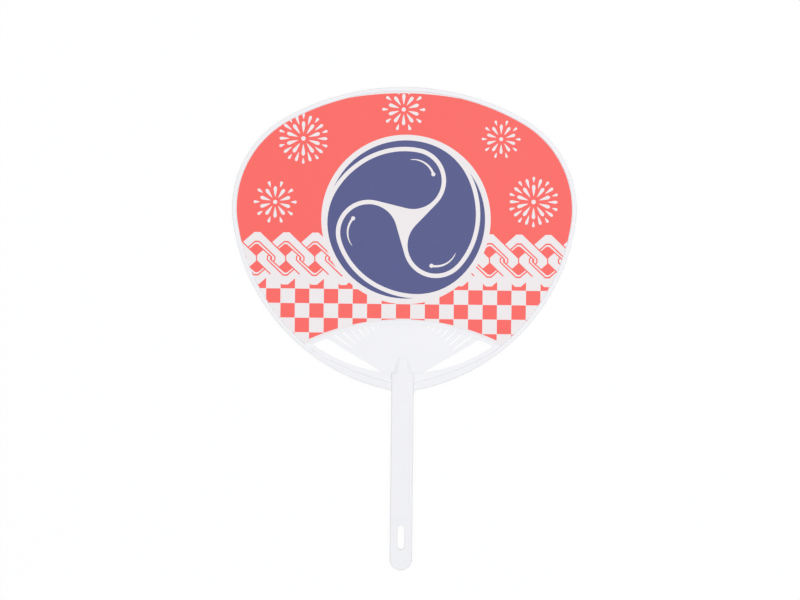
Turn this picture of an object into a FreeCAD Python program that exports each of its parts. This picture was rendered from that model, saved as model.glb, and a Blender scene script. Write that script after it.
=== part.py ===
import FreeCAD, Part
import math
import os

# A flat hand fan: a moulded frame of handle, bows, web, arch bar, ribs and rim, with a paper on each face.
# It lies face up. +Y runs from the handle to the top of the head, X = 0 is the line of symmetry,
# and the origin is under the middle of the fan, on the surface that it lies on.

# Driving dimensions, in millimetres and degrees
overall_length = 345.0
head_width = 246.0
head_rise = 87.0  # from the head's widest line up to its top
head_drop = 131.0  # from the widest line down to where the two flanks would meet
flank_radius = 143.0
shoulder_radius_share = 0.85  # of the head's rise

rim_width = 3.0
rim_thickness = 2.6
rim_round_share = 0.85  # of the step from the rim's bead, or the bows' bands, down to the plate
rim_end_gap = 7.0  # from the papers' lower corners down to where the rim passes into the bows
ledge_width = 3.2
plate_thickness = 1.4  # of the ledge, the bows' gussets, the web and the ribs

paper_thickness = 0.25
paper_clearance = 0.3
paper_web_gap = 2.6  # from the slits' roots up to the middle of the papers' lower edge
paper_arch_radius = 145.5
arch_bar_cover = 2.6  # how far the bar along the papers' lower edge reaches under them
arch_lip_width = 2.5  # of the bar's lip, below the papers

bow_root_depth = 13.2  # from the head's lowest point up to the bows' inner edge, on the line of symmetry
band_middle_width = 5.3  # of the bow's thick band, halfway along it
band_root_width = 5.6  # at the handle
bow_slot_length = 5.4
bow_slot_width = 1.0
bow_root_radius = 2.0

rib_count = 23
rib_corner_angle = 10.64  # degrees at the ribs' centre, from the papers' corners up to the lowest ribs
rib_centre_depth = 7.7  # from the bows' inner edge down to the point that the ribs fan out from
web_radius = 43.5  # from the ribs' centre to the roots of the slits between them
slit_root_width = 1.0
slit_least_length = 2.0  # the web has no slit where a shorter one would fit
rib_widest_radius = 64.0
slit_middle_width = 1.5  # between two ribs where they are widest
rib_tip_width = 2.4

handle_width = 15.8
handle_thickness = 4.0
hang_slot_width = 5.0
hang_slot_length = 17.6
hang_slot_inset = 23.5  # from the handle's end to the slot's middle
hang_slot_round = 0.5
recess_border = 2.8
recess_depth = 0.35
recess_slot_gap = 7.0  # between the recess and the slot
recess_bow_gap = 6.0  # between the recess and the bows
tongue_length = 11.3  # of the tongue that runs from the handle into the web
tongue_tip_width = 6.0
tongue_tip_rise = 0.3  # of the tongue's tip above the web
tongue_side_run = 2.8  # how far the tongue's sides lean in, for each millimetre that they rise

overrun = 5.0  # how far a cutting or trimmed shape runs past what it cuts or is trimmed by
level_tolerance = 1e-6

# Places and sizes that follow from them
widest_y = overall_length / 2 - head_rise
lowest_y = widest_y - head_drop
neck_y = lowest_y + bow_root_depth
end_y = -overall_length / 2
middle_z = handle_thickness / 2
head_half = head_width / 2
handle_half = handle_width / 2
handle_round = (handle_thickness - rim_thickness) / 2
rim_round = rim_round_share * (rim_thickness - plate_thickness) / 2


def point(x, y):
    return FreeCAD.Vector(x, y, 0)


def on_circle(circle, angle):
    centre, radius = circle
    return centre + point(radius * math.cos(angle), radius * math.sin(angle))


def foot_angle(circle, x):
    """The angle at which the lower half of a circle passes over x."""
    centre, radius = circle
    return -math.acos((x - centre.x) / radius)


def foot(circle, x):
    return on_circle(circle, foot_angle(circle, x))


def inside(circle, distance):
    centre, radius = circle
    return (centre, radius - distance)


def arc(circle, start, end):
    ends_and_middle = [on_circle(circle, angle) for angle in (start, (start + end) / 2, end)]
    return Part.Arc(*ends_and_middle).toShape()


def line(start, end):
    return Part.LineSegment(start, end).toShape()


def face_of(edges):
    return Part.Face(Part.Wire(Part.sortEdges(edges)[0]))


def polygon(points):
    return Part.Face(Part.makePolygon(points + points[:1]))


def disc(circle):
    centre, radius = circle
    return Part.Face(Part.Wire(Part.makeCircle(radius, centre)))


def mirrored(shape):
    return shape.mirror(point(0, 0), FreeCAD.Vector(1, 0, 0))


def slab(face, thickness):
    """A plate of this outline, with the middle of its thickness at the middle of the fan's."""
    plate = face.copy()
    plate.translate(FreeCAD.Vector(0, 0, middle_z - thickness / 2))
    return plate.extrude(FreeCAD.Vector(0, 0, thickness))


def level_edges(shape):
    return [edge for edge in shape.Edges if edge.BoundBox.ZLength < level_tolerance]


def off_middle(edge):
    """How far a level edge lies above or below the middle of the fan's thickness."""
    return abs(edge.BoundBox.Center.z - middle_z)


# The head's outline is one arc over the top, and on each side a shoulder and a flank, all tangent.
shoulder_radius = shoulder_radius_share * head_rise
shoulder_centre = point(head_half - shoulder_radius, widest_y)
shoulder = (shoulder_centre, shoulder_radius)

crown_reach = shoulder_centre.x**2 + head_rise**2 - shoulder_radius**2
crown_radius = crown_reach / (2 * (head_rise - shoulder_radius))
crown = (point(0, widest_y + head_rise - crown_radius), crown_radius)


def crossings(first, second):
    """The two points where one circle crosses another, from left to right."""
    way = second[0] - first[0]
    along = (first[1] ** 2 - second[1] ** 2 + way.Length**2) / (2 * way.Length)
    aside = math.sqrt(first[1] ** 2 - along**2)
    step = way / way.Length
    square = point(-step.y, step.x)
    both = [first[0] + step * along + square * aside * side for side in (-1, 1)]
    return sorted(both, key=lambda place: place.x)


def direction(start, end):
    return math.atan2(end.y - start.y, end.x - start.x)


# The flank goes through the head's lowest point, and the shoulder touches it from inside.
centres_beside_shoulder = (shoulder_centre, flank_radius - shoulder_radius)
centres_above_lowest = (point(0, lowest_y), flank_radius)
flank = (crossings(centres_beside_shoulder, centres_above_lowest)[0], flank_radius)
crown_end = direction(crown[0], shoulder[0])
flank_start = direction(flank[0], shoulder[0])


def side_edges(distance, flank_end):
    """The right half of the outline, this far inside the head's edge, from the top down to an angle."""
    top = math.pi / 2
    return [
        arc(inside(crown, distance), top, crown_end),
        arc(inside(shoulder, distance), crown_end, flank_start),
        arc(inside(flank, distance), flank_start, flank_end),
    ]


def head_face(distance):
    """All that lies this far inside the head's edge."""
    right = side_edges(distance, foot_angle(inside(flank, distance), 0))
    return face_of(right + [mirrored(edge) for edge in right])


# The papers' lower edge is an arch over the web, and the rim ends a little below its corners.
rib_centre = point(0, neck_y - rib_centre_depth)
arch_top_y = rib_centre.y + web_radius + paper_web_gap
paper_arch = (point(0, arch_top_y - paper_arch_radius), paper_arch_radius)
paper_edge = inside(flank, rim_width + paper_clearance)
paper_corner = crossings(paper_arch, paper_edge)[1]
rim_end_angle = direction(flank[0], paper_corner) - rim_end_gap / flank_radius

# Inside the rim's ledge lies the blade. The arch bar crosses it under the papers' lower edge.
blade = head_face(rim_width + ledge_width)
arch_bar_top = inside(paper_arch, -arch_bar_cover)
arch_lip_top = inside(paper_arch, paper_clearance)
arch_bar_foot = inside(arch_lip_top, arch_lip_width)


def rim_face(outer_distance, inner_distance):
    """A strip along the head's edge, open at the bottom, a little longer than the rim."""
    flank_end = rim_end_angle - overrun / flank_radius
    right = []
    for distance in (outer_distance, inner_distance):
        right += side_edges(distance, flank_end)
    ends = [on_circle(inside(flank, distance), flank_end) for distance in (outer_distance, inner_distance)]
    right.append(line(*ends))
    return face_of(right + [mirrored(edge) for edge in right])


# The bow: a thick band along the head's edge and a thin gusset inside it, which ends as wide as the ledge
ledge_end = on_circle(inside(flank, rim_width + ledge_width), rim_end_angle)
bow_inner_rise = ledge_end.y - neck_y
bow_inner_radius = (ledge_end.x**2 + bow_inner_rise**2) / (2 * bow_inner_rise)
bow_inner = (point(0, neck_y + bow_inner_radius), bow_inner_radius)
bow_foot = foot(bow_inner, handle_half)


def band_inner_circle():
    root_angle = foot_angle(flank, handle_half)
    stations = [
        (rim_width, rim_end_angle),
        (band_middle_width, (rim_end_angle + root_angle) / 2),
        (band_root_width, root_angle),
    ]
    band_points = [on_circle(inside(flank, distance), angle) for distance, angle in stations]
    curve = Part.Arc(*band_points).toShape().Curve
    return (curve.Center, curve.Radius)


band_inner = band_inner_circle()


def strip_face(outer, inner, start_x, end_x):
    """What lies between the lower halves of two circles, from one x to another."""
    start_points = [foot(outer, start_x), foot(inner, start_x)]
    end_points = [foot(outer, end_x), foot(inner, end_x)]
    edges = [line(*start_points), line(*end_points)]
    for circle in (outer, inner):
        edges.append(arc(circle, foot_angle(circle, start_x), foot_angle(circle, end_x)))
    return face_of(edges)


def bow_zone():
    """The place of the right bow: beside the handle, as far out as the rim's end."""
    rim_end_inner = on_circle(inside(flank, rim_width + ledge_width + overrun), rim_end_angle)
    rim_end_outer = on_circle(inside(flank, -overrun), rim_end_angle)
    below_y = lowest_y - overrun
    corners = [
        point(handle_half, below_y),
        bow_foot + point(0, overrun),
        rim_end_inner,
        rim_end_outer,
        point(rim_end_outer.x, below_y),
    ]
    return slab(polygon(corners), handle_thickness + 2 * overrun)


def bow_root_face():
    """The rounded corner under the bow, where its edge runs into the handle's side."""
    centre_x = handle_half + bow_root_radius
    centre = foot((flank[0], flank_radius + bow_root_radius), centre_x)
    corner = (centre, bow_root_radius)
    touch_angle = direction(centre, flank[0])
    on_flank = on_circle(corner, touch_angle)
    on_handle = on_circle(corner, math.pi)
    within = point(handle_half, on_flank.y)
    return face_of([arc(corner, touch_angle, math.pi), line(on_handle, within), line(within, on_flank)])


def with_round_bead(shape):
    """The same shape with round edges along its bead or band, but not at the ends."""
    whole = shape.removeSplitter()
    curved = [edge for edge in level_edges(whole) if isinstance(edge.Curve, Part.Circle)]
    bead_height = rim_thickness / 2 - level_tolerance
    return whole.makeFillet(rim_round, [edge for edge in curved if off_middle(edge) > bead_height])


def bow():
    start_x = handle_half - overrun
    end_x = on_circle(flank, rim_end_angle).x + overrun
    band = slab(strip_face(flank, band_inner, start_x, end_x), rim_thickness)
    gusset = slab(strip_face(inside(flank, rim_width / 2), bow_inner, start_x, end_x), plate_thickness)
    slot_outer_x = handle_half + bow_slot_length
    slot_face = strip_face(band_inner, inside(band_inner, bow_slot_width), start_x, slot_outer_x)
    slot = slab(slot_face, rim_thickness)
    root = slab(bow_root_face(), plate_thickness)
    return with_round_bead(band.fuse([gusset.cut(slot), root]).common(bow_zone()))


def rim():
    bead = slab(rim_face(0, rim_width), rim_thickness)
    ledge = slab(rim_face(rim_width / 2, rim_width + ledge_width), plate_thickness)
    right_zone = bow_zone()
    return with_round_bead(bead.fuse(ledge).cut([right_zone, mirrored(right_zone)]))


# The handle
def stadium(low_y, high_y, width):
    """A slot-shaped outline along the line of symmetry."""
    radius = width / 2
    low = (point(0, low_y + radius), radius)
    high = (point(0, high_y - radius), radius)
    edges = [arc(low, -math.pi, 0), arc(high, 0, math.pi)]
    for angle in (0, math.pi):
        edges.append(line(on_circle(low, angle), on_circle(high, angle)))
    return face_of(edges)


slot_low_y = end_y + hang_slot_inset - hang_slot_length / 2
slot_high_y = slot_low_y + hang_slot_length


def handle_bar():
    """The bar, round at its end, cut at the neck along the bows' inner edge."""
    bar = slab(stadium(end_y, neck_y + handle_width, handle_width), handle_thickness)
    bar = bar.makeFillet(handle_round, level_edges(bar))
    return bar.cut(slab(disc(bow_inner), handle_thickness + 2 * overrun))


def hang_slot(bar):
    slot = slab(stadium(slot_low_y, slot_high_y, hang_slot_width), handle_thickness + 2 * overrun)
    slotted = bar.cut(slot)
    mouth = slot.BoundBox
    mouth.enlarge(level_tolerance)
    mouth_edges = [edge for edge in level_edges(slotted) if mouth.isInside(edge.BoundBox)]
    return slotted.makeFillet(hang_slot_round, mouth_edges)


def recesses():
    low_y = slot_high_y + recess_slot_gap
    high_y = foot(flank, handle_half).y - recess_bow_gap
    face = stadium(low_y, high_y, handle_width - 2 * recess_border)
    recess = slab(face, recess_depth)
    offset = (handle_thickness - recess_depth) / 2
    pair = []
    for side in (-1, 1):
        cut = recess.copy()
        cut.translate(FreeCAD.Vector(0, 0, side * offset))
        pair.append(cut)
    return pair


def tongue_section(y, half_width, rise):
    """A cross-section of the tongue: as thick as the web at its sides, with slopes to its two faces."""
    half_plate = plate_thickness / 2
    upper = [(half_width, half_plate), (half_width - tongue_side_run * rise, half_plate + rise)]
    right = [(x, -z) for x, z in upper[::-1]] + upper
    loop = right + [(-x, z) for x, z in right[::-1]]
    return Part.makePolygon([FreeCAD.Vector(x, y, middle_z + z) for x, z in loop + loop[:1]])


def tongue():
    """A ridge from the handle into the web, narrower and lower towards its tip."""
    root_half = handle_half - handle_round
    root_rise = (handle_thickness - plate_thickness) / 2
    sections = [
        tongue_section(neck_y - overrun, root_half, root_rise),
        tongue_section(bow_foot.y, root_half, root_rise),
        tongue_section(neck_y + tongue_length, tongue_tip_width / 2, tongue_tip_rise),
    ]
    return Part.makeLoft(sections, True, True)


def handle_end_zone():
    """The place of the handle's end, from the tip to halfway between the slot and the recess."""
    low_y = end_y - overrun
    high_y = slot_high_y + recess_slot_gap / 2
    ends = ((-1, low_y), (1, low_y), (1, high_y), (-1, high_y))
    corners = [point(side * handle_width, y) for side, y in ends]
    return slab(polygon(corners), handle_thickness + 2 * overrun)


def handle():
    """The bar with a recess in each face and the tongue."""
    bar = handle_bar().cut(recesses() + [handle_end_zone()])
    return bar.fuse(tongue()).removeSplitter()


def handle_end():
    """The round end with the slot that the fan hangs by."""
    return hang_slot(handle_bar()).common(handle_end_zone())


# The web, the arch bar and the ribs
lowest_rib_angle = direction(rib_centre, paper_corner) + math.radians(rib_corner_angle)
rib_pitch = (math.pi - 2 * lowest_rib_angle) / (rib_count - 1)
half_pitch = rib_pitch / 2
rib_root_width = 2 * web_radius * math.tan(half_pitch) - slit_root_width
rib_widest_width = 2 * rib_widest_radius * math.tan(half_pitch) - slit_middle_width


def rib_point(number, along, aside):
    """A point on a rib, from the ribs' centre along its middle and to its left."""
    angle = lowest_rib_angle + number * rib_pitch
    ahead = point(math.cos(angle), math.sin(angle))
    left = point(-ahead.y, ahead.x)
    return rib_centre + ahead * along + left * aside


def reach_inside(face, number):
    """How far a face reaches from the ribs' centre, along the middle of a rib."""
    ray = line(rib_centre, rib_point(number, overall_length, 0)).common(face)
    return max((vertex.Point - rib_centre).Length for vertex in ray.Vertexes)


def rib_sides(number):
    """A rib's right and left edges, from its root in the web out past its tip."""
    stations = [
        (web_radius, rib_root_width / 2),
        (rib_widest_radius, rib_widest_width / 2),
        (reach_inside(blade, number) + overrun, rib_tip_width / 2),
    ]
    return [[rib_point(number, along, side * aside) for along, aside in stations] for side in (-1, 1)]


def rib(number):
    """One flat rib, from the arch bar to the inside of the ledge."""
    right, left = rib_sides(number)
    face = polygon(right + left[::-1]).common(blade).cut(disc(arch_bar_top))
    return slab(face, plate_thickness)


def slit_faces():
    """The slits between the ribs' roots, round at the root and open to the arch bar."""
    faces = []
    root_radius = slit_root_width / 2
    widening = (slit_middle_width - slit_root_width) / (rib_widest_radius - web_radius)
    for number in range(rib_count - 1):
        between = number + 1 / 2
        length = reach_inside(disc(arch_bar_foot), between) - web_radius
        if length > slit_least_length:
            root = rib_point(between, web_radius + root_radius, 0)
            end = web_radius + length + overrun
            end_half = root_radius + widening * (length + overrun) / 2
            ends = [(web_radius + root_radius, root_radius), (end, end_half)]
            right = [rib_point(between, along, -aside) for along, aside in ends]
            left = [rib_point(between, along, aside) for along, aside in ends]
            faces += [disc((root, root_radius)), polygon(right + left[::-1])]
    return faces


def neck_web():
    """The plate between the bows and the arch bar, with the ribs' roots in it."""
    right, left = rib_sides(0)[0], rib_sides(rib_count - 1)[1]
    face = polygon([rib_centre] + right + left[::-1]).common(disc(bow_inner)).common(disc(arch_bar_foot))
    web = slab(face.cut(slit_faces()), plate_thickness)
    return web.cut(tongue())


def arch_bar():
    """The bar that the papers' lower edge is glued to, with a lip that is flush with both papers."""
    bar = slab(disc(arch_bar_top).cut(disc(arch_bar_foot)).common(blade), plate_thickness)
    lip_face = disc(arch_lip_top).cut(disc(arch_bar_foot)).common(blade)
    lip = slab(lip_face, plate_thickness + 2 * paper_thickness)
    return bar.fuse(lip).removeSplitter()


# The papers
def paper(side):
    face = head_face(rim_width + paper_clearance).cut(disc(paper_arch))
    sheet = slab(face, paper_thickness)
    sheet.translate(FreeCAD.Vector(0, 0, side * (plate_thickness + paper_thickness) / 2))
    return sheet


def build():
    right_bow = bow()
    nodes = {
        "handle": handle(),
        "handle_end": handle_end(),
        "neck_web": neck_web(),
        "bow_left": mirrored(right_bow),
        "bow_right": right_bow,
        "rim": rim(),
        "arch_bar": arch_bar(),
    }
    for number in range(rib_count):
        nodes[f"rib_{number + 1:02d}"] = rib(number)
    nodes["front_paper"] = paper(1)
    nodes["back_paper"] = paper(-1)
    return nodes


os.makedirs("parts", exist_ok=True)
for name, shape in build().items():
    shape.exportStep(f"parts/{name}.step")
    print(name, len(shape.Solids), shape.isValid(), round(shape.Volume, 1))
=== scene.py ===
# %% [markdown]
# # A round hand fan, dressed in Blender
# The fan is a white moulded frame with a printed paper glued on each face. Its solids come from the CAD
# model, which is loaded first and never moved. The frame's solids already have the right shape, so here
# they only get a finish. The two papers are made again, because their print and the way they hang between
# the ribs are what a solid doesn't show. All lengths on the drawing are in millimetres, and `mm` turns
# them into Blender's metres.

# %% Load the fan's solids
import math
from collections import Counter

import bmesh
import bpy
import numpy as np
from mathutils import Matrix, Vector
from mathutils.geometry import delaunay_2d_cdt


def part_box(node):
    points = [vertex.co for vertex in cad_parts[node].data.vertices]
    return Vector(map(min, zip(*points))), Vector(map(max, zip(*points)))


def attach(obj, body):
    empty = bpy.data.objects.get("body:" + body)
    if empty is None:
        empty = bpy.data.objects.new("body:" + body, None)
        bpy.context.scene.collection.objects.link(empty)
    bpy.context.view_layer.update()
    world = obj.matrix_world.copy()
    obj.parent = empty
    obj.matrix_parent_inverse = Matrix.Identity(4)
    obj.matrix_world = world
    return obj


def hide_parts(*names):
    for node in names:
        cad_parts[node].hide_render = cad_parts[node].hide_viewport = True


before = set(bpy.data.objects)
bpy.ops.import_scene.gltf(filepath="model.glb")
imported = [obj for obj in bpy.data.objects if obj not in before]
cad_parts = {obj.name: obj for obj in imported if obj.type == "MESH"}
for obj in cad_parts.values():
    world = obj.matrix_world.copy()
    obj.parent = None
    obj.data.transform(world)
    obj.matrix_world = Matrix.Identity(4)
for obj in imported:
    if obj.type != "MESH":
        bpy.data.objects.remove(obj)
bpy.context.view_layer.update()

mm = 0.001
scene = bpy.context.scene


# %% [markdown]
# ## The edge of the papers
# Each paper is die-cut to the head's outline, with an arch at the bottom that leaves the neck free. The
# outline could be drawn again from its arcs, but then two drawings would have to agree. It is read from
# the paper's solid instead: the edges where its flat upper side meets its thin wall, followed round in
# order. A face is level if its normal points nearly straight up, and a wall if its normal lies nearly flat.

# %% Read the cut edge from the front paper's solid
weld_distance = 0.001 * mm
level_from, wall_to = 0.9, 0.5


def cut_edge(node):
    """The outline of a paper's upper side, in millimetres, as points in order."""
    sheet = bmesh.new()
    sheet.from_mesh(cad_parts[node].data)
    bmesh.ops.remove_doubles(sheet, verts=sheet.verts, dist=weld_distance)
    beside = {}
    for edge in sheet.edges:
        normals = sorted(face.normal.z for face in edge.link_faces)
        if len(normals) == 2 and normals[1] > level_from and abs(normals[0]) < wall_to:
            for vertex in edge.verts:
                beside.setdefault(vertex, []).append(edge.other_vert(vertex))
    walk = [next(iter(beside))]
    walk.append(beside[walk[0]][0])
    while walk[-1] is not walk[0]:
        first, second = beside[walk[-1]]
        walk.append(second if first is walk[-2] else first)
    points = np.array([(vertex.co.x / mm, vertex.co.y / mm) for vertex in walk[:-1]])
    sheet.free()
    return points


edge_points = cut_edge("front_paper")
print("paper edge:", len(edge_points), "points,", np.ptp(edge_points, axis=0).round(1), "mm across")

# %% [markdown]
# ## Drawing the print
# The print is two inks, red and navy, on white paper, and all its edges are sharp. A picture could be
# wrapped over the sheet, and a shader could work the pattern out, but both go soft or jagged close up.
# Here each shape is an outline in real millimetres, and the sheet is later cut along all of them, as cut
# paper would be. Shapes lie in paint order, so a later one covers an earlier one. A shape may have two
# loops: what lies inside both is a hole. The drawing's zero is on the fan's line of symmetry, where the
# head is widest.

# %% A list to paint into, and the plain outlines
head_rise = 87.0
widest_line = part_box("rim")[1].y / mm - head_rise
corner_points = 4
drawing = []


def paint(ink, *loops):
    """Lay a shape of one ink over everything painted so far."""
    drawing.append((ink, [np.array(loop, float) for loop in loops]))


def turned(points, degrees, centre=(0, 0)):
    """Points turned about zero, then moved to a centre."""
    cosine, sine = math.cos(math.radians(degrees)), math.sin(math.radians(degrees))
    return np.array(points) @ np.array([[cosine, sine], [-sine, cosine]]) + np.array(centre)


def spokes(lengths, degrees, centre=(0, 0)):
    """Points at given distances and directions from a centre."""
    angles = np.radians(degrees)
    ways = np.column_stack([np.cos(angles), np.sin(angles)])
    return ways * np.reshape(lengths, (-1, 1)) + np.array(centre)


def arc_points(radius, start, end, count, centre=(0, 0)):
    """Evenly spaced points on an arc, from one direction to another."""
    return spokes(radius, np.linspace(start, end, count), centre)


def circle(radius, count, centre=(0, 0)):
    """Evenly spaced points all the way round."""
    return arc_points(radius, 0, 360 - 360 / count, count, centre)


def rounded_box(centre, width, height, round_radius):
    """A box with rounded corners."""
    corners = []
    for quarter, (side_x, side_y) in enumerate([(1, 1), (-1, 1), (-1, -1), (1, -1)]):
        corner = (side_x * (width / 2 - round_radius), side_y * (height / 2 - round_radius))
        corners.append(arc_points(round_radius, 90 * quarter, 90 * quarter + 90, corner_points, corner))
    return np.vstack(corners) + np.array(centre)


print("the drawing's zero lies at y =", round(widest_line, 2), "mm")

# %% [markdown]
# ## The red ground and the checks
# The upper part of the sheet is solid red. Below it runs a chequer of red and white squares, an old
# weaving pattern. The squares could be one checker texture, but printed ones have slightly soft corners
# and a hair of white between them, so each square is a small outline with rounded corners.

# %% Paint the ground and the checks
past_edge = 128.0
ground_low = -47.3
check_width, check_height = 10.31, 10.39
check_middle = -0.2
check_gap, check_round = 0.08, 0.3
check_rows, checks_aside = 6, 12
inked_width, inked_height = check_width - check_gap, check_height - check_gap

ground = [(-past_edge, ground_low), (past_edge, ground_low), (past_edge, past_edge), (-past_edge, past_edge)]
paint("red", ground)
for row in range(check_rows):
    for column in range(-checks_aside, checks_aside + 1):
        if (row + column) % 2 == 0:
            middle = (check_middle + column * check_width, ground_low - (row + 0.5) * check_height)
            paint("red", rounded_box(middle, inked_width, inked_height, check_round))
print("ground and checks:", len(drawing), "shapes")

# %% [markdown]
# ## The fireworks
# Five white bursts stand on the red. Each is a dot with rings of drops, which are pointed towards the dot
# and round outside. A drop could be a stretched circle, but then both its ends are alike. Drawn ones swell
# from the point in a slight curve, are widest at three quarters of their length and close in a round end,
# so that is the formula for the half width here. Each ring of ten drops is given by the direction of the
# first drop, the two radii between which the drops lie, and their width.

# %% Paint the bursts
widest_share = 0.76
swell = 0.8
flank_points, end_points = 7, 6
drops_in_ring = 10
dot_points = 24


def drop(inner, outer, width):
    """A drop along +X: a point at the inner radius, a round end at the outer one."""
    flank_share = np.linspace(0, widest_share, flank_points)
    flank_half = (flank_share / widest_share) ** swell
    turn = np.radians(np.linspace(90 / end_points, 90, end_points))
    share = np.append(flank_share, widest_share + (1 - widest_share) * np.sin(turn))
    half = np.append(flank_half, np.cos(turn)) * width / 2
    side = np.column_stack([inner + (outer - inner) * share, half])
    return np.vstack([side, side[-2:0:-1] * (1, -1)])


def burst(centre, dot_radius, rings):
    """A dot and the rings of drops round it."""
    paint("paper", circle(dot_radius, dot_points, centre))
    for first_angle, inner, outer, width in rings:
        for step in range(drops_in_ring):
            direction = first_angle + 360 / drops_in_ring * step
            paint("paper", turned(drop(inner, outer, width), direction, centre))


large_rings = [(90, 3.9, 12.3, 2.6), (72, 9.9, 17.1, 2.2), (90, 13.7, 18.0, 2.0)]
middle_rings = [(90, 3.4, 11.2, 2.55), (72, 10.9, 15.4, 2.15)]
small_rings = [(90, 3.5, 10.5, 2.2), (72, 10.0, 13.9, 1.8)]
for centre in [(-72.6, 49.5), (92.2, 5.8)]:
    burst(centre, 1.6, large_rings)
for centre in [(-1.2, 70.9), (-92.3, 4.0)]:
    burst(centre, 1.5, middle_rings)
burst((68.6, 50.4), 1.4, small_rings)
print("with the bursts:", len(drawing), "shapes")

# %% [markdown]
# ## The chain
# Between the ground and the checks runs a band of interlocked links, a traditional chain pattern. Each
# link is an eight-sided ring of a broad white band, a thin red line and a thin white line, a little skewed,
# as if drawn by hand. Rings that only overlap would look stacked. So all rings are painted first, and then
# each arm that falls to the right is painted again where it crosses the next link, on a red underlay that
# shows as a line on both sides of it. That makes the weave. A half turn brings a link onto itself, so half
# of each outline gives the rest.

# %% Paint the links
link_pitch = 20.79
link_row = (-1.25, -36.25)
links_aside = 6
white_out = np.array([(20.37, 1.49), (2.44, 18.64), (-1.73, 18.64), (-20.37, 2.04)])
line_out = np.array([(13.52, 1.35), (1.84, 12.44), (-1.34, 12.44), (-13.52, 1.48)])
line_in = np.array([(12.6, 0.99), (1.53, 11.35), (-1.05, 11.35), (-12.6, 1.1)])
white_in = np.array([(11.15, 1.11), (0.91, 10.15), (-1.03, 10.15), (-11.15, 1.63)])
arm_line = 0.9


def link_loop(upper_half, centre):
    """A whole outline of a link, from its upper half."""
    return np.vstack([upper_half, -upper_half]) + np.array(centre)


def crossing(first, second):
    """Where two lines meet, each given by two points."""
    way, other = first[1] - first[0], second[1] - second[0]
    share = np.linalg.solve(np.column_stack([way, -other]), second[0] - first[0])[0]
    return first[0] + share * way


def falling_arm(upper_half, outward=0.0):
    """The edge of the arm that falls to the right, moved outward."""
    top, low = upper_half[1], upper_half[0]
    way = (low - top) / np.linalg.norm(low - top)
    return np.array([top, low]) + outward * np.array([-way[1], way[0]])


def rising_arm(upper_half):
    """The edge of the next link's arm that falls to the left."""
    return upper_half[[2, 3]] + np.array([link_pitch, 0])


def over(near, far):
    """The stretch of a falling arm, between two of its edges, that crosses the next link."""
    first, last = rising_arm(white_out), rising_arm(white_in)
    corners = [(near, first), (far, first), (far, last), (near, last)]
    return np.array([crossing(edge, end) for edge, end in corners])


link_numbers = range(-links_aside, links_aside + 1)
link_centres = [(link_row[0] + link_pitch * number, link_row[1]) for number in link_numbers]
for centre in link_centres:
    paint("paper", link_loop(white_out, centre), link_loop(white_in, centre))
for centre in link_centres:
    paint("red", link_loop(line_out, centre), link_loop(line_in, centre))

underlay = over(falling_arm(white_in, -arm_line), falling_arm(white_out, arm_line))
broad_band = over(falling_arm(line_out), falling_arm(white_out))
thin_band = over(falling_arm(white_in), falling_arm(line_in))
for centre in link_centres:
    for half_turn in (1, -1):
        for ink, patch in [("red", underlay), ("paper", broad_band), ("paper", thin_band)]:
            paint(ink, patch * half_turn + np.array(centre))
print("with the chain:", len(drawing), "shapes")

# %% [markdown]
# ## The swirl in the middle
# The middle carries a swirl of three commas in navy on a white roundel, an old crest of drums and
# festivals. The heads could be discs with tails stuck on, but then the gaps between the commas would come
# out uneven. So a comma is drawn in the crest's own way: round at the head, out along the roundel's edge,
# and back along the head and the edge of the next comma, always one gap away from it. The outer edge is a
# short table of radii by direction, smoothed. All sizes of a comma are shares of the swirl's radius.

# %% Draw one comma
third_of_turn = 120
head_distance, head_radius, comma_gap = 0.5, 0.36, 0.055
head_middle = (head_distance, 0)
edge_angles = [0, 20, 40, 60, 75, 90, 105, 200]
edge_radii = [0.86, 0.865, 0.88, 0.905, 0.945, 0.982, 1.0, 1.0]
edge_step, smoothing = 4, 7
cusp_angle = 3.5
head_points, belly_points = 32, 26
tail_reach, tail_limit = 84, 0.995
tip_lead, tip_room = 5, 2


def comma():
    """One comma about zero, its head on +X."""
    angles = np.arange(edge_angles[-1], -1, -edge_step)
    padded = np.pad(np.interp(angles, edge_angles, edge_radii), smoothing // 2, mode="edge")
    radii = np.convolve(padded, np.ones(smoothing) / smoothing, mode="valid")
    head = arc_points(head_radius, 0, -180 - cusp_angle, head_points, head_middle)
    next_head = turned([head_middle], third_of_turn)[0]
    belly = arc_points(head_radius + comma_gap, -cusp_angle, third_of_turn, belly_points, next_head)
    behind = np.arange(edge_step, tail_reach, edge_step)
    tail = np.interp(behind, angles[::-1], radii[::-1]) + comma_gap
    kept = tail < tail_limit
    tail_edge = spokes(tail, behind + third_of_turn)[kept]
    tip_angle = third_of_turn + behind[kept][-1] + tip_lead
    outer_edge = spokes(radii, angles)[angles < tip_angle - tip_room]
    return np.vstack([outer_edge, head, belly, tail_edge, spokes(1.0, [tip_angle])])


print("a comma has", len(comma()), "points")

# %% [markdown]
# ## The roundel and the highlights
# Each head has a pin-shaped highlight, as on a drawing: a thin stroke along the front of the head, which
# widens from a point to a round knob. A shiny ink would give a highlight too, but one that moves with the
# eye. A drawn one is bare paper, so stroke and knob are painted after their comma.

# %% Paint the roundel, its three commas and their highlights
swirl_centre = (1.2, -7.6)
swirl_radius = 56.5
roundel_margin = 4.0
first_head = 80
light_share, light_start, light_end = 0.74, 20, -62
light_width, light_points = 0.055, 22
knob_radius, knob_points = 0.026, 18
roundel_points = 120


def highlight():
    """The stroke on a comma's head and the knob at its end."""
    spine = arc_points(head_radius * light_share, light_start, light_end, light_points, head_middle)
    widening = np.sqrt(np.linspace(0, 1, light_points))[:, None]
    aside = (spine - np.array(head_middle)) * light_width * widening
    stroke = np.vstack([spine + aside, (spine - aside)[::-1]])
    return stroke, circle(knob_radius, knob_points, spine[-1])


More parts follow.
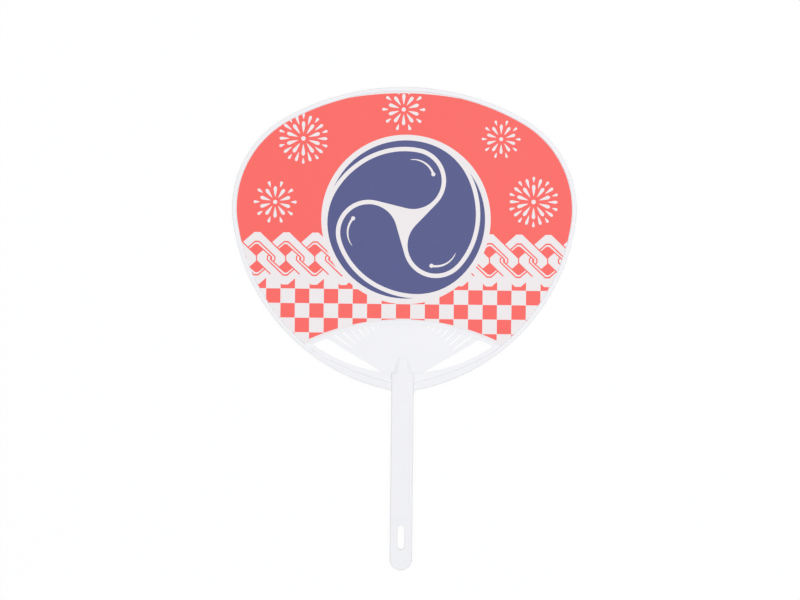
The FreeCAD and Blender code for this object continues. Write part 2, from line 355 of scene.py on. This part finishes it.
paint("paper", circle(swirl_radius + roundel_margin, roundel_points, swirl_centre))
for direction in (first_head, first_head + third_of_turn, first_head + 2 * third_of_turn):
    paint("navy", turned(comma() * swirl_radius, direction, swirl_centre))
    for outline in highlight():
        paint("paper", turned(outline * swirl_radius, direction, swirl_centre))
print("with the swirl:", len(drawing), "shapes")

# %% [markdown]
# ## The bare margin
# Along the arch the ink stops just short of the cut, so a thin white margin is left. The ink's edge is
# drawn with a slightly larger radius than the cut, so the margin widens towards the corners. At the crown
# of the head the ink stops a millimetre short in the same way, along a flatter curve than the cut. These
# are the last things painted: strips of bare paper between the ink's edge and a line outside the cut.

# %% Paint the margins along the arch and the crown
arch_radius, ink_radius = 145.5, 160.0
arch_start, arch_end, arch_steps = 55, 125, 60
margin = 0.55
axis_reach = 12
crown_radius, crown_half_turn = 226.6, 11.5
crown_margin, crown_past = 1.2, 12.0

near_axis = edge_points[np.abs(edge_points[:, 0]) < axis_reach]
arch_top = near_axis[near_axis[:, 1] < widest_line][:, 1].max() - widest_line
ink_middle = (0, arch_top + margin - ink_radius)
ink_edge = arc_points(ink_radius, arch_start, arch_end, arch_steps, ink_middle)
cut_middle = (0, arch_top - arch_radius)
past_cut = arc_points(arch_radius - margin, arch_end, arch_start, arch_steps, cut_middle)
paint("paper", np.vstack([ink_edge, past_cut]))

crown_top = edge_points[:, 1].max() - widest_line - crown_margin
crown_middle = (0, crown_top - crown_radius)
crown_start, crown_end = 90 - crown_half_turn, 90 + crown_half_turn
crown_edge = arc_points(crown_radius, crown_start, crown_end, arch_steps, crown_middle)
past_crown = crown_edge[[-1, 0]] + np.array([0, crown_past])
paint("paper", np.vstack([crown_edge, past_crown]))
print("arch top at", round(arch_top, 2), "mm, shapes in all:", len(drawing))

# %% [markdown]
# ## Cutting the sheet along the print
# The sheet is cut into small triangles whose sides follow every outline of the drawing. Doing that by
# hand, or with a knife tool for each shape, would take hundreds of cuts. A constrained triangulation does
# it in one go: it takes all outlines and a grid of loose points, which later let the sheet bend, and says
# for each triangle which outlines it lies in. The topmost shape with an odd number of loops round a
# triangle gives that triangle its ink.

# %% Cut the sheet
grid_pitch = 2.6
inside_faces, merge_distance = 1, 2e-3


def anticlockwise(loop):
    """A loop in the direction that the triangulation expects."""
    x, y = loop[:, 0], loop[:, 1]
    area = np.dot(x, np.roll(y, -1)) - np.dot(y, np.roll(x, -1))
    return loop if area > 0 else loop[::-1]


def cut_sheet():
    """Points in millimetres, triangles, and each triangle's ink."""
    shapes = [("paper", [edge_points])]
    shapes += [(ink, [loop + np.array([0, widest_line]) for loop in loops]) for ink, loops in drawing]
    points, loops, owner = [], [], []
    for number, (ink, outlines) in enumerate(shapes):
        for outline in outlines:
            loops.append(list(range(len(points), len(points) + len(outline))))
            points.extend(anticlockwise(outline))
            owner.append(number)
    low, high = edge_points.min(axis=0), edge_points.max(axis=0)
    for row, y in enumerate(np.arange(low[1], high[1], grid_pitch)):
        columns = np.arange(low[0], high[0], grid_pitch)
        points.extend((x + row % 2 * grid_pitch / 2, y) for x in columns)
    places = [Vector(point) for point in points]
    cut = delaunay_2d_cdt(places, [], loops, inside_faces, merge_distance, True)
    cut_points, _, cut_triangles, _, _, loops_around = cut
    triangles, inks = [], []
    for triangle, around in zip(cut_triangles, loops_around):
        rings = Counter(owner[loop] for loop in around)
        covering = [number for number, count in rings.items() if count % 2]
        if 0 in covering:
            triangles.append(triangle)
            inks.append(shapes[max(covering)][0])
    used = sorted({corner for triangle in triangles for corner in triangle})
    renumbered = {old: new for new, old in enumerate(used)}
    flat = np.array([cut_points[corner] for corner in used])
    return flat, [[renumbered[corner] for corner in triangle] for triangle in triangles], inks


flat_points, flat_triangles, flat_inks = cut_sheet()
print("sheet:", len(flat_points), "points,", dict(Counter(flat_inks)), "triangles")

# %% [markdown]
# ## How a paper lies on the ribs
# A glued paper is stretched over the ribs and dips a little between them, more where the ribs are far
# apart, and not at all where it is stuck to the rim's ledge. A cloth simulation could find that, but the
# dip is only a tenth of a millimetre and its form is known: a row of shallow waves that fan out from the
# point where the ribs meet, and that fade out towards the ledge.

# %% Work out the dip
rib_centre = np.array([0, -40.0])
lowest_rib, rib_step = math.radians(32.8), math.radians(5.2)
rib_width, dip_share = 3.2, 0.009
ledge_width, fade_width = 3.5, 9.0


def dip(points):
    """How far the paper lies below its flat place, in millimetres."""
    away = points - rib_centre
    distance = np.hypot(away[:, 0], away[:, 1])
    angle = np.arctan2(away[:, 1], away[:, 0])
    free = np.clip(distance * rib_step - rib_width, 0, None)
    wave = 0.5 - 0.5 * np.cos(2 * np.pi * (angle - lowest_rib) / rib_step)
    to_edge = np.full(len(points), np.inf)
    for point in edge_points:
        to_edge = np.minimum(to_edge, np.hypot(*(points - point).T))
    loose = np.clip((to_edge - ledge_width) / fade_width, 0, 1)
    return dip_share * free * wave * loose**2 * (3 - 2 * loose)


flat_dip = dip(flat_points)
print("deepest dip:", round(flat_dip.max(), 3), "mm")

# %% [markdown]
# ## Shaders as sums
# Materials are graphs of nodes, and long graphs are hard to read when each node takes three lines. The
# class below holds one output of a node, so that Python's own signs can add the Math nodes, and a single
# method makes every other node: its kind, its settings, and what goes into its sockets.

# %% A wire of a node graph
class Wire:
    """One output of a shader node, or just the tree that nodes are made in."""

    def __init__(self, tree, socket=None):
        self.tree, self.socket = tree, socket

    def node(self, kind, settings=None, sockets=None, out=0):
        made = self.tree.nodes.new("ShaderNode" + kind)
        for name, value in (settings or {}).items():
            setattr(made, name, value)
        for name, value in (sockets or {}).items():
            if isinstance(value, Wire):
                self.tree.links.new(value.socket, made.inputs[name])
            else:
                made.inputs[name].default_value = value
        return Wire(self.tree, made.outputs[out] if len(made.outputs) else None)

    def maths(self, operation, *values):
        return self.node("Math", {"operation": operation}, dict(enumerate(values)))

    def __add__(self, other):
        return self.maths("ADD", self, other)

    def __sub__(self, other):
        return self.maths("SUBTRACT", self, other)

    def __rsub__(self, other):
        return self.maths("SUBTRACT", other, self)

    def __mul__(self, other):
        return self.maths("MULTIPLY", self, other)

    __radd__, __rmul__ = __add__, __mul__

    def outputs(self, *names):
        """Several outputs of this wire's node."""
        return [Wire(self.tree, self.socket.node.outputs[name]) for name in names]

    def blend(self, low, high):
        """A colour between two, by this value."""
        return self.node("Mix", {"data_type": "RGBA"}, {0: self, 6: low, 7: high}, out=2)

    def noise(self, scale, detail, roughness=0.5):
        """Noise at the places that this wire gives."""
        sockets = {"Vector": self, "Scale": scale, "Detail": detail, "Roughness": roughness}
        return self.node("TexNoise", {}, sockets)


def new_finish(name):
    """An empty material, and a wire to fill it with."""
    finish = bpy.data.materials.new(name)
    finish.use_nodes = True
    finish.node_tree.nodes.clear()
    return finish, Wire(finish.node_tree)


def colour(red, green, blue):
    """A colour as a screen shows it, 0 to 255, as the linear numbers that a shader takes."""
    shares = [value / 255 for value in (red, green, blue)]
    return [c / 12.92 if c <= 0.04045 else ((c + 0.055) / 1.055) ** 2.4 for c in shares] + [1.0]


print("wire ready, middle grey is", round(colour(128, 128, 128)[0], 3))

# %% [markdown]
# ## Paper and its inks
# The sheet is a coated paper: nearly smooth, with a fine tooth and a faint cloudiness where the fibres
# lie thicker. The inks sit in that surface, so red, navy and bare paper share one recipe. What differs is
# the colour, how much it mottles, and the sheen, because a solid ink film fills the tooth and shines a
# little more. Clouds are some millimetres wide, the grain half a millimetre and the tooth a fifth of one.

# %% Make the three paper finishes
paper_clouds, paper_grain, paper_tooth = 160.0, 1900.0, 5200.0
tooth_depth = 0.02 * mm


def paper_finish(name, shade, mottle, sheen):
    """A printed or bare paper: its colour, how much that varies, and its mean roughness."""
    finish, wire = new_finish(name)
    place = wire.node("TexCoord", out="Object")
    cloud = place.noise(paper_clouds, 4.0, 0.6)
    grain = place.noise(paper_grain, 3.0, 0.65)
    tooth = place.noise(paper_tooth, 2.0)
    dark = [value * (1 - mottle) for value in shade[:3]] + [1.0]
    light = [min(1.0, value * (1 + mottle)) for value in shade[:3]] + [1.0]
    height = grain * 0.6 + tooth * 0.4
    shader = wire.node("BsdfPrincipled", {}, {
        "Base Color": (cloud * 0.6 + grain * 0.4).blend(dark, light),
        "Roughness": sheen + 0.16 * (grain - 0.5) + 0.1 * (cloud - 0.5),
        "IOR": 1.46,
        "Specular IOR Level": 0.42,
        "Normal": wire.node("Bump", {}, {"Strength": 0.35, "Distance": tooth_depth, "Height": height}),
    })
    wire.node("OutputMaterial", {}, {"Surface": shader})
    return finish


paper_inks = {
    "paper": paper_finish("bare_paper", colour(240, 234, 235), 0.03, 0.6),
    "red": paper_finish("red_ink", colour(254, 103, 97), 0.05, 0.5),
    "navy": paper_finish("navy_ink", colour(79, 84, 136), 0.07, 0.48),
}
print("paper finishes:", [finish.name for finish in paper_inks.values()])

# %% [markdown]
# ## The two papers
# Each paper is a closed sheet: the printed side, the glued side one thickness below it, and the cut wall
# between them. A single surface with a thickness modifier would look the same from the front, but the ink
# would also show on the wall. The wall stands on the sides that only one triangle has. The back carries
# the same print, turned so that it reads the same way from behind.

# %% Build a paper and let it stand for its solid
ink_order = list(paper_inks)
crease_angle = math.radians(35)


def sides_of(triangle):
    """A triangle's three sides, each as two corners."""
    return list(zip(triangle, triangle[1:] + triangle[:1]))


flat_sides = [side for triangle in flat_triangles for side in sides_of(triangle)]
side_uses = Counter(frozenset(side) for side in flat_sides)
wall_sides = [side for side in flat_sides if side_uses[frozenset(side)] == 1]


def build_paper(name, node, side):
    """A printed sheet in the place of a paper's solid: side is 1 for the front and -1 for the back."""
    low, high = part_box(node)
    face_z, glued_z = (high.z, low.z) if side > 0 else (low.z, high.z)
    count = len(flat_points)
    across = np.column_stack([flat_points[:, 0] * side, flat_points[:, 1]]) * mm
    face = np.column_stack([across, face_z - side * flat_dip * mm])
    glued = np.column_stack([across, glued_z - side * flat_dip * mm])
    faces = [tuple(triangle) for triangle in flat_triangles]
    faces += [tuple(corner + count for corner in triangle[::-1]) for triangle in flat_triangles]
    faces += [(second, first, first + count, second + count) for first, second in wall_sides]
    mesh = bpy.data.meshes.new(name)
    mesh.from_pydata(np.vstack([face, glued]).tolist(), [], faces)
    for ink in ink_order:
        mesh.materials.append(paper_inks[ink])
    inks = [ink_order.index(ink) for ink in flat_inks]
    bare = [ink_order.index("paper")] * (len(faces) - len(inks))
    mesh.polygons.foreach_set("material_index", inks + bare)
    mesh.shade_smooth()
    mesh.set_sharp_from_angle(angle=crease_angle)
    piece = bpy.data.objects.new(name, mesh)
    scene.collection.objects.link(piece)
    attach(piece, "root")
    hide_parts(node)
    return piece


papers = [build_paper("front_print", "front_paper", 1), build_paper("back_print", "back_paper", -1)]
print("papers:", [(piece.name, len(piece.data.polygons)) for piece in papers])

# %% [markdown]
# ## The moulded plastic
# The frame is polypropylene, white with a cool cast, satin, and a little translucent at thin places.
# Moulding leaves three traces: a fine grain from the tool, faint flow streaks that run out from the neck,
# where the melt came in, and a hair-fine seam half way up the side walls, where the two halves of the tool
# met. The streaks are noise read in polar places about the ribs' centre, so that they follow the ribs and
# the handle: many to a turn, and long in the direction away from the centre.

# %% Make the plastic and put it on the frame
streaks_by_angle, streaks_by_length, streaks_by_height = 34.0, 26.0, 60.0
plastic_clouds, plastic_grain = 70.0, 3600.0
grain_depth = 0.02 * mm
seam_level, seam_half, seam_height = 2.0 * mm, 0.12 * mm, 0.05 * mm


def plastic_finish(name, shade, shaded):
    """A satin moulded plastic between two shades of one colour."""
    finish, wire = new_finish(name)
    place = wire.node("TexCoord", out="Object")
    x, y, z = wire.node("SeparateXYZ", {}, {0: place}).outputs("X", "Y", "Z")
    up = y - float(rib_centre[1]) * mm
    angle = wire.maths("ARCTAN2", x, up)
    distance = wire.maths("SQRT", x * x + up * up)
    polar = wire.node("CombineXYZ", {}, {
        "X": angle * streaks_by_angle,
        "Y": distance * streaks_by_length,
        "Z": z * streaks_by_height,
    })
    streak = polar.noise(1.0, 4.0, 0.6)
    cloud = place.noise(plastic_clouds, 3.0)
    grain = place.noise(plastic_grain, 2.0)
    fade = {0: wire.maths("ABSOLUTE", z - seam_level), 1: 0.0, 2: seam_half, 3: 1.0, 4: 0.0}
    seam = wire.node("MapRange", {"interpolation_type": "SMOOTHSTEP"}, fade)
    height = grain * 0.8 + streak * 0.5
    fine = wire.node("Bump", {}, {"Strength": 0.25, "Distance": grain_depth, "Height": height})
    raised = {"Strength": 0.5, "Distance": seam_height, "Height": seam, "Normal": fine}
    shader = wire.node("BsdfPrincipled", {}, {
        "Base Color": (streak * 0.5 + cloud * 0.5).blend(shaded, shade),
        "Roughness": 0.4 + 0.18 * (streak - 0.5) + 0.1 * (grain - 0.5),
        "IOR": 1.49,
        "Specular IOR Level": 0.45,
        "Subsurface Weight": 0.12,
        "Subsurface Radius": (1.0, 0.95, 0.9),
        "Subsurface Scale": 1.2 * mm,
        "Normal": wire.node("Bump", {}, raised),
    })
    wire.node("OutputMaterial", {}, {"Surface": shader})
    return finish


white_plastic = plastic_finish("white_polypropylene", colour(244, 243, 245), colour(237, 237, 241))
frame_nodes = [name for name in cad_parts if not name.endswith("_paper")]
for name in frame_nodes:
    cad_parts[name].data.materials.clear()
    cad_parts[name].data.materials.append(white_plastic)
print("plastic on", len(frame_nodes), "pieces of the frame")

# %% [markdown]
# ## The floor
# The fan lies on a white sheet in an even studio light. The floor has to look white and still take the
# fan's soft shadow, so it mixes a lit white surface with a plain white glow. It shows only to rays that
# come from the camera or from a reflection, and only from above. All other light passes through it, so
# that the back of the fan is lit and can be looked at from below.

# %% Lay the floor
floor_half = 4.0
floor_glow = 0.82
white = (1.0, 1.0, 1.0, 1.0)


def seen_directly(wire):
    """1 for rays from the camera and for rays that a gloss or a clear piece sends on."""
    kinds = ("Is Camera Ray", "Is Glossy Ray", "Is Transmission Ray")
    camera_ray, gloss_ray, clear_ray = wire.node("LightPath").outputs(*kinds)
    return wire.maths("MAXIMUM", wire.maths("MAXIMUM", camera_ray, gloss_ray), clear_ray)


floor_finish, wire = new_finish("floor_white")
lit = wire.node("BsdfDiffuse", {}, {"Color": white})
glow = wire.node("Emission", {}, {"Color": white, "Strength": 1.0})
look = wire.node("MixShader", {}, {0: floor_glow, 1: lit, 2: glow})
backside = wire.node("NewGeometry", out="Backfacing")
open_air = wire.node("BsdfTransparent")
shown = wire.node("MixShader", {}, {0: seen_directly(wire) * (1 - backside), 1: open_air, 2: look})
wire.node("OutputMaterial", {}, {"Surface": shown})

floor_mesh = bpy.data.meshes.new("floor")
corners = [(x * floor_half, y * floor_half, 0) for x, y in [(-1, -1), (1, -1), (1, 1), (-1, 1)]]
floor_mesh.from_pydata(corners, [], [(0, 1, 2, 3)])
floor_mesh.materials.append(floor_finish)
floor = bpy.data.objects.new("floor", floor_mesh)
scene.collection.objects.link(floor)
print("floor", 2 * floor_half, "m wide")

# %% [markdown]
# ## The surroundings
# The surroundings are white to the camera. To the rest they are a soft light that is strong overhead, and
# underneath for the back, and weak at the sides, so that rounded edges show as grey lines. An even light
# from all sides would be simpler, but white plastic on white would then lose its edges.

# %% Light the air
overhead_light, side_light = 1.17, 0.15
cool = (0.98, 0.99, 1.0, 1.0)

air = bpy.data.worlds.new("studio_air")
air.use_nodes = True
air.node_tree.nodes.clear()
scene.world = air
wire = Wire(air.node_tree)
upright = wire.node("SeparateXYZ", {}, {0: wire.node("TexCoord", out="Generated")}, out="Z")
sides = wire.node("Background", {}, {"Color": cool, "Strength": side_light})
overhead = wire.node("Background", {}, {"Color": cool, "Strength": overhead_light})
soft = wire.node("MixShader", {}, {0: wire.maths("ABSOLUTE", upright), 1: sides, 2: overhead})
plain = wire.node("Background", {}, {"Color": white, "Strength": 1.0})
around = wire.node("MixShader", {}, {0: seen_directly(wire), 1: soft, 2: plain})
wire.node("OutputWorld", {}, {"Surface": around})
print("air lit", overhead_light, "overhead and", side_light, "at the sides")

# %% [markdown]
# ## Lamp and camera
# One large soft lamp, high up on the right, gives the handle and the rim their slight shading. The camera
# looks straight down from a metre and a half with a long lens, as for a catalogue picture, and is turned
# by half a degree, because the fan doesn't lie quite straight. The picture is 800 pixels wide, and a pixel
# is 0.714 mm on the fan.

# %% Set the lamp and the camera
lamp_width, lamp_power = 1.4, 12.5
lamp_place, lamp_aim = Vector((0.55, 0.4, 2.5)), Vector((0, 0.03, 0))
picture_pixels, pixel_size = 800, 0.714 * mm
camera_aim = Vector((-2.48, 20.35, 3.0)) * mm
camera_turn = math.radians(0.586)

lamp_data = bpy.data.lights.new("soft_box", "AREA")
lamp_data.shape = "DISK"
lamp_data.size = lamp_width
lamp_data.energy = lamp_power
lamp = bpy.data.objects.new("soft_box", lamp_data)
lamp.location = lamp_place
lamp.rotation_euler = (lamp_aim - lamp_place).to_track_quat("-Z", "Y").to_euler()
scene.collection.objects.link(lamp)

camera_data = bpy.data.cameras.new("camera")
camera_data.lens = 95.0
camera_data.sensor_width = 36.0
camera_height = picture_pixels * pixel_size * camera_data.lens / camera_data.sensor_width
camera = bpy.data.objects.new("camera", camera_data)
camera.location = camera_aim + Vector((0, 0, camera_height))
camera.rotation_euler = (0, 0, camera_turn)
scene.collection.objects.link(camera)
scene.camera = camera
scene.view_settings.view_transform = "Standard"
print("camera", round(camera_height, 3), "m above the fan")
